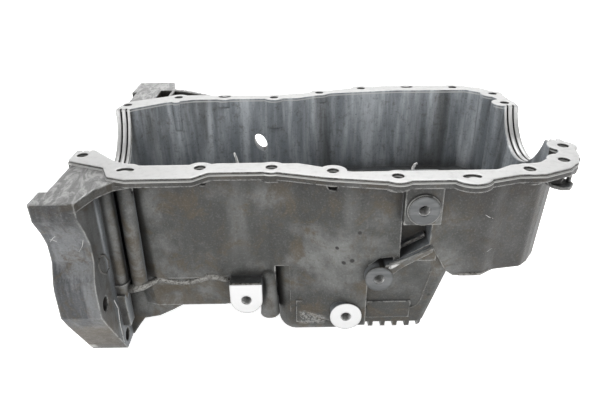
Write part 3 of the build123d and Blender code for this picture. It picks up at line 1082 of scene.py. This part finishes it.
@dataclass
class Trim:
    """Small forms on the casting: flash beads, rib crests, seams, blades, threads and scratches."""

    skin: Surface
    thread: Thread = Thread()
    finishes: tuple[tuple[Metal, WornFinish], ...] = (
        (Metal.FLASH, WornFinish((0.065, 0.061, 0.053), (0.22, 0.217, 0.205), 0.80, 0.50 * MM)),
        # The crests' pale metal is partly rubbed bare and partly a painted highlight, where their edges catch
        # the light.
        (Metal.CREST, WornFinish((0.14, 0.14, 0.135), (0.42, 0.42, 0.41), 1.0, 0.12 * MM)),
        (Metal.SEAM, WornFinish(share=0.40)),
        (Metal.THREAD, WornFinish((0.20, 0.20, 0.20), (0.70, 0.70, 0.69), 1.0, 0.05 * MM)),
    )
    forms: tuple["Bead | Strand", ...] = (
        Bead(
            "ledge_bead", Metal.FLASH,
            (
                (-170.0, -109.5), (-163.0, -105.0), (-156.0, -104.0), (-147.0, -107.5), (-138.0, -110.0),
                (-129.0, -111.5), (-120.0, -111.0), (-112.0, -109.0), (-103.5, -103.5), (-96.0, -104.5),
                (-90.0, -109.0), (-86.0, -109.0),
            ),
            0.6, (4.2, 4.0, 3.6, 3.0, 2.8, 2.7, 2.8, 3.2, 3.6, 3.3, 2.8, 2.0), flat=0.6,
        ),
        Strand(
            "pad_lip", Metal.FLASH,
            ((-84.0, -102.6, -103.9), (-71.0, -102.6, -103.9), (-58.0, -102.6, -103.9)), (1.2,),
        ),
        Bead(
            "floor_lip", Metal.FLASH,
            ((97.0, -92.4), (104.0, -92.4), (112.0, -92.4), (121.0, -92.4), (130.0, -91.6)),
            0.3, (1.0, 1.5, 1.6, 1.5, 0.9),
        ),
        Bead(
            "panel_seam", Metal.SEAM,
            (
                (83.5, -91.0), (82.5, -100.0), (81.0, -109.0), (78.5, -127.5), (76.5, -132.0), (74.0, -135.0),
                (68.5, -136.0),
            ),
            0.2, (0.7,),
        ),
        Strand(
            "wing_loop", Metal.SEAM,
            (
                (-179.0, -125.5, -61.5), (-179.0, -130.0, -66.0), (-179.0, -127.5, -73.0),
                (-179.0, -118.5, -81.0), (-179.0, -110.5, -80.5), (-179.0, -109.5, -73.5),
                (-179.0, -114.0, -66.0), (-179.0, -123.0, -61.0),
            ),
            (0.9,),
        ),
        Strand(
            "wing_seam", Metal.CREST,
            (
                (-179.0, -113.5, -110.0), (-179.0, -108.5, -122.0), (-179.0, -111.0, -137.0),
                (-179.0, -110.0, -157.5),
            ),
            (0.55,),
        ),
        Strand(
            "long_rib_crest", Metal.CREST,
            (
                (43.0, -113.6, -83.5), (47.0, -114.0, -80.6), (54.5, -114.0, -77.2), (65.5, -114.0, -71.4),
                (79.0, -113.6, -64.2),
            ),
            (1.8, 2.7, 2.0, 1.3, 1.1),
        ),
        Strand(
            "short_rib_crest", Metal.CREST,
            ((57.0, -96.8, -75.2), (66.3, -97.2, -70.0), (75.2, -97.6, -64.9)), (1.0, 1.1, 1.0),
        ),
        Strand(
            "front_blade", Metal.CREST,
            (
                (-78.0, -60.0, -3.0), (-76.5, -61.0, -7.0), (-74.5, -64.0, -14.0), (-72.5, -74.0, -28.0),
                (-71.0, -88.6, -40.0),
            ),
            (0.8, 1.1, 1.3, 1.6, 2.0),
        ),
        Strand(
            "left_blade", Metal.CREST,
            ((-147.2, -70.0, -9.0), (-146.8, -72.0, -14.0), (-146.0, -90.8, -34.0)), (0.8, 1.2, 1.8),
        ),
        Strand(
            "hook_post", Metal.CREST,
            (
                (70.5, -72.0, -10.0), (68.6, -73.0, -10.6), (67.2, -74.0, -13.0), (66.8, -76.0, -18.0),
                (66.5, -89.8, -40.0),
            ),
            (0.9, 1.2, 1.4, 1.5, 2.0),
        ),
    )
    scratch_lines: tuple[tuple[Place, ...], ...] = (
        ((-207.0, -39.5), (-203.5, -35.5), (-201.0, -33.5)),
        ((-188.5, -49.5), (-185.0, -44.5), (-182.5, -38.0)),
        ((-206.5, -37.0), (-204.0, -37.5), (-202.0, -39.5)),
        ((117.0, -36.5), (120.0, -38.5), (123.5, -40.0)),
        ((121.0, -73.0), (125.0, -71.0), (128.5, -70.0)),
    )
    scratch_sunk: float = 0.1
    scratch_widths: Point = (0.2, 0.32, 0.2)
    scratch_sides: int = 6

    def laid(self, bead: Bead) -> Strand:
        """Lays a bead on the front skin, which makes it a strand."""
        points = tuple((x, self.skin.in_front(x, z) + bead.sunk, z) for x, z in bead.line)
        return Strand(bead.name, bead.metal, points, bead.widths, bead.flat, bead.sides)

    def rings(self, strand: Strand) -> list[Matrix]:
        """The place, turn and size of each ring of a strand.

        Args:
            strand: The strand.

        Returns:
            A matrix for each ring.
        """
        spots = [Vector(point) * MM for point in strand.points]
        rings = []
        for index, spot in enumerate(spots):
            ahead = (spots[min(index + 1, len(spots) - 1)] - spots[max(index - 1, 0)]).normalized()
            side = ahead.cross(Vector((0.0, -1.0, 0.0))).normalized()
            out = side.cross(ahead)
            width = strand.widths[min(index, len(strand.widths) - 1)] * MM
            turn = Matrix((side * width, out * width * strand.flat, ahead)).transposed().to_4x4()
            rings.append(Matrix.Translation(spot) @ turn)
        return rings

    def build_strand(self, strand: Strand, finish: bpy.types.Material) -> bpy.types.Object:
        """Draws one strand as a closed tube of varying width.

        Args:
            strand: The line and its widths.
            finish: The material.

        Returns:
            The piece.
        """
        shape = bmesh.new()
        rings = self.rings(strand)
        bmesh.ops.create_circle(shape, segments=strand.sides, radius=1.0)
        bmesh.ops.transform(shape, matrix=rings[0], verts=shape.verts)
        rim = shape.edges[:]
        for before, after in zip(rings, rings[1:]):
            grown = bmesh.ops.extrude_edge_only(shape, edges=rim)["geom"]
            rim = [item for item in grown if isinstance(item, bmesh.types.BMEdge)]
            fresh = [item for item in grown if isinstance(item, bmesh.types.BMVert)]
            bmesh.ops.transform(shape, matrix=after @ before.inverted(), verts=fresh)
        bmesh.ops.holes_fill(shape, edges=shape.edges, sides=0)
        bmesh.ops.recalc_face_normals(shape, faces=shape.faces)
        return self.finished(strand.name, shape, finish)

    def build_thread(self, name: str, pad: Pad, finish: bpy.types.Material) -> bpy.types.Object:
        """Winds the ridge of a thread in a pad's hole.

        Args:
            name: The piece's name.
            pad: The pad that the hole is in.
            finish: The material.

        Returns:
            The piece.
        """
        thread = self.thread
        shape = bmesh.new()
        quarter_turn = Matrix.Rotation(math.pi / 2, 4, "Z")
        bmesh.ops.create_circle(shape, segments=3, radius=thread.ridge, matrix=quarter_turn)
        bmesh.ops.translate(shape, verts=shape.verts, vec=Vector((thread.radius, 0.0, 0.0)))
        bmesh.ops.spin(
            shape, geom=shape.verts[:] + shape.edges[:], cent=Vector(), axis=Vector((0.0, 1.0, 0.0)),
            dvec=Vector((0.0, thread.pitch / thread.steps, 0.0)), angle=math.tau * thread.turns,
            steps=thread.steps * thread.turns, use_merge=False,
        )
        bmesh.ops.holes_fill(shape, edges=shape.edges, sides=0)
        bmesh.ops.recalc_face_normals(shape, faces=shape.faces)
        mouth = Vector((pad.x, pad.face + thread.chamfer, pad.z))
        bmesh.ops.translate(shape, verts=shape.verts, vec=mouth)
        return self.finished(name, shape, finish)

    def rank(self, face: bmesh.types.BMFace) -> int:
        """Ranks a face by its lowest and highest vertex, since the operators' own order is not fixed."""
        numbers = [vertex.index for vertex in face.verts]
        return min(numbers) * MOST_VERTICES + max(numbers)

    def finished(self, name: str, shape: bmesh.types.BMesh, finish: bpy.types.Material) -> bpy.types.Object:
        """Turns a mesh into a piece of the pan.

        Args:
            name: The piece's name.
            shape: Its mesh, which is freed.
            finish: Its material.

        Returns:
            The piece.
        """
        shape.verts.index_update()
        shape.faces.sort(key=self.rank)
        for face in shape.faces:
            face.smooth = len(face.verts) == 4
        mesh = bpy.data.meshes.new(name)
        shape.to_mesh(mesh)
        shape.free()
        mesh.materials.append(finish)
        piece = bpy.data.objects.new(name, mesh)
        bpy.context.scene.collection.objects.link(piece)
        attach(piece, "root")
        LOG.info("%s built", name)
        return piece

    def build(self, pads: tuple[Pad, ...]) -> None:
        """Builds every small form.

        Args:
            pads: The pads that have a threaded hole.
        """
        metals = {metal: finish.build(metal.value) for metal, finish in self.finishes}
        for form in self.forms:
            strand = self.laid(form) if isinstance(form, Bead) else form
            self.build_strand(strand, metals[form.metal])
        for number, line in enumerate(self.scratch_lines, 1):
            scratch = Bead(
                f"scratch_{number}", Metal.CREST, line, self.scratch_sunk, self.scratch_widths,
                sides=self.scratch_sides,
            )
            self.build_strand(self.laid(scratch), metals[scratch.metal])
        for number, pad in enumerate(pads, 1):
            self.build_thread(f"thread_{number}", pad, metals[Metal.THREAD])


@dataclass(frozen=True)
class SoftLight:
    """A square soft light: its name, its place and side in metres, and its power in watts."""

    name: str
    place: Point
    side: float
    power: float


@dataclass
class Studio:
    """Pale floor, soft lights and the camera; places in metres, angles in degrees."""

    floor_height: float = -170.0 * MM
    floor_reach: float = 12.0
    floor_segments: int = 96
    backdrop_height: float = 4.0
    paper: Colour = (0.93, 0.93, 0.93)
    paper_pale: Colour = (0.96, 0.96, 0.96)
    paper_roughness: float = 0.9
    paper_relief: float = 0.1 * MM
    paper_glow: float = 0.86
    white: tuple[float, float, float, float] = (1.0, 1.0, 1.0, 1.0)
    surroundings: float = 0.45
    aim: Point = (0.0, 0.0, -0.08)
    lights: tuple[SoftLight, ...] = (
        SoftLight("top_light", (0.1, 0.7, 1.3), 1.3, 21.0),
        SoftLight("left_light", (-1.2, -0.5, 0.7), 0.8, 4.5),
        SoftLight("front_light", (0.6, -1.5, 0.9), 1.0, 3.5),
    )
    eye: Point = (-0.0291, -0.4829, 0.1629)
    yaw: float = 0.01
    pitch: float = 27.05
    roll: float = -0.91
    lens: float = 33.62
    sensor: float = 36.0

    def build_floor(self) -> None:
        """Lays the round paper floor under the pan and turns its rim up into a low backdrop."""
        shape = bmesh.new()
        bmesh.ops.create_circle(shape, cap_ends=True, segments=self.floor_segments, radius=self.floor_reach)
        bmesh.ops.translate(shape, verts=shape.verts, vec=Vector((0.0, 0.0, self.floor_height)))
        rim = bmesh.ops.extrude_edge_only(shape, edges=shape.edges)["geom"]
        top = [item for item in rim if isinstance(item, bmesh.types.BMVert)]
        bmesh.ops.translate(shape, verts=top, vec=Vector((0.0, 0.0, self.backdrop_height)))
        mesh = bpy.data.meshes.new("floor")
        shape.to_mesh(mesh)
        shape.free()
        mesh.materials.append(self.build_paper())
        floor = bpy.data.objects.new("floor", mesh)
        bpy.context.scene.collection.objects.link(floor)

    def build_paper(self) -> bpy.types.Material:
        """Makes the floor's paper, which glows a little so that it stays white.

        Returns:
            The material.
        """
        board = NodeBoard("floor_paper")
        tone = board.pattern(Pattern.TONE)
        paper = board.surface(
            board.mix(tone, self.paper, self.paper_pale), 0.0, self.paper_roughness,
            board.bump(tone, self.paper_relief),
        )
        shader = paper.node_tree.nodes["Principled BSDF"]
        shader.inputs["Emission Color"].default_value = self.white
        shader.inputs["Emission Strength"].default_value = self.paper_glow
        return paper

    def build_light(self, light: SoftLight) -> None:
        """Hangs one soft light, turned to the pan.

        Args:
            light: The light.
        """
        data = bpy.data.lights.new(light.name, "AREA")
        data.shape = "SQUARE"
        data.size = light.side
        data.energy = light.power
        lamp = bpy.data.objects.new(light.name, data)
        lamp.location = light.place
        towards = Vector(self.aim) - Vector(light.place)
        lamp.rotation_euler = towards.to_track_quat("-Z", "Y").to_euler()
        bpy.context.scene.collection.objects.link(lamp)

    def build_surroundings(self) -> None:
        """Surrounds the studio with even white light."""
        world = bpy.data.worlds.new("studio")
        world.use_nodes = True
        background = world.node_tree.nodes["Background"]
        background.inputs["Color"].default_value = self.white
        background.inputs["Strength"].default_value = self.surroundings
        bpy.context.scene.world = world

    def build_camera(self) -> None:
        """Sets the camera up."""
        yaw, pitch, roll = (math.radians(angle) for angle in (self.yaw, self.pitch, self.roll))
        ahead = Vector((math.sin(yaw) * math.cos(pitch), math.cos(yaw) * math.cos(pitch), -math.sin(pitch)))
        level = Vector((math.cos(yaw), -math.sin(yaw), 0.0))
        above = level.cross(ahead)
        right = math.cos(roll) * level + math.sin(roll) * above
        up = math.cos(roll) * above - math.sin(roll) * level
        data = bpy.data.cameras.new("camera")
        data.sensor_width = self.sensor
        data.lens = self.lens
        camera = bpy.data.objects.new("camera", data)
        turn = Matrix((right, up, -ahead)).transposed().to_4x4()
        camera.matrix_world = Matrix.Translation(self.eye) @ turn
        bpy.context.scene.collection.objects.link(camera)
        bpy.context.scene.camera = camera

    def build(self) -> None:
        """Builds the floor, the lights and the camera."""
        self.build_floor()
        for light in self.lights:
            self.build_light(light)
        self.build_surroundings()
        self.build_camera()
        bpy.context.scene.view_settings.view_transform = "Standard"
        LOG.info("studio built")


def main() -> None:
    """Dresses the pan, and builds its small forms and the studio."""
    logging.basicConfig(level=logging.INFO, format="%(name)s: %(message)s")
    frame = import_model()
    finish = CastFinish()
    casting = Casting().dress(frame, finish)
    Trim(Surface.of(casting)).build(finish.machining.dull_pads + finish.machining.bright_pads)
    Studio().build()
    LOG.info("sizes written")


if __name__ == "__main__":
    main()
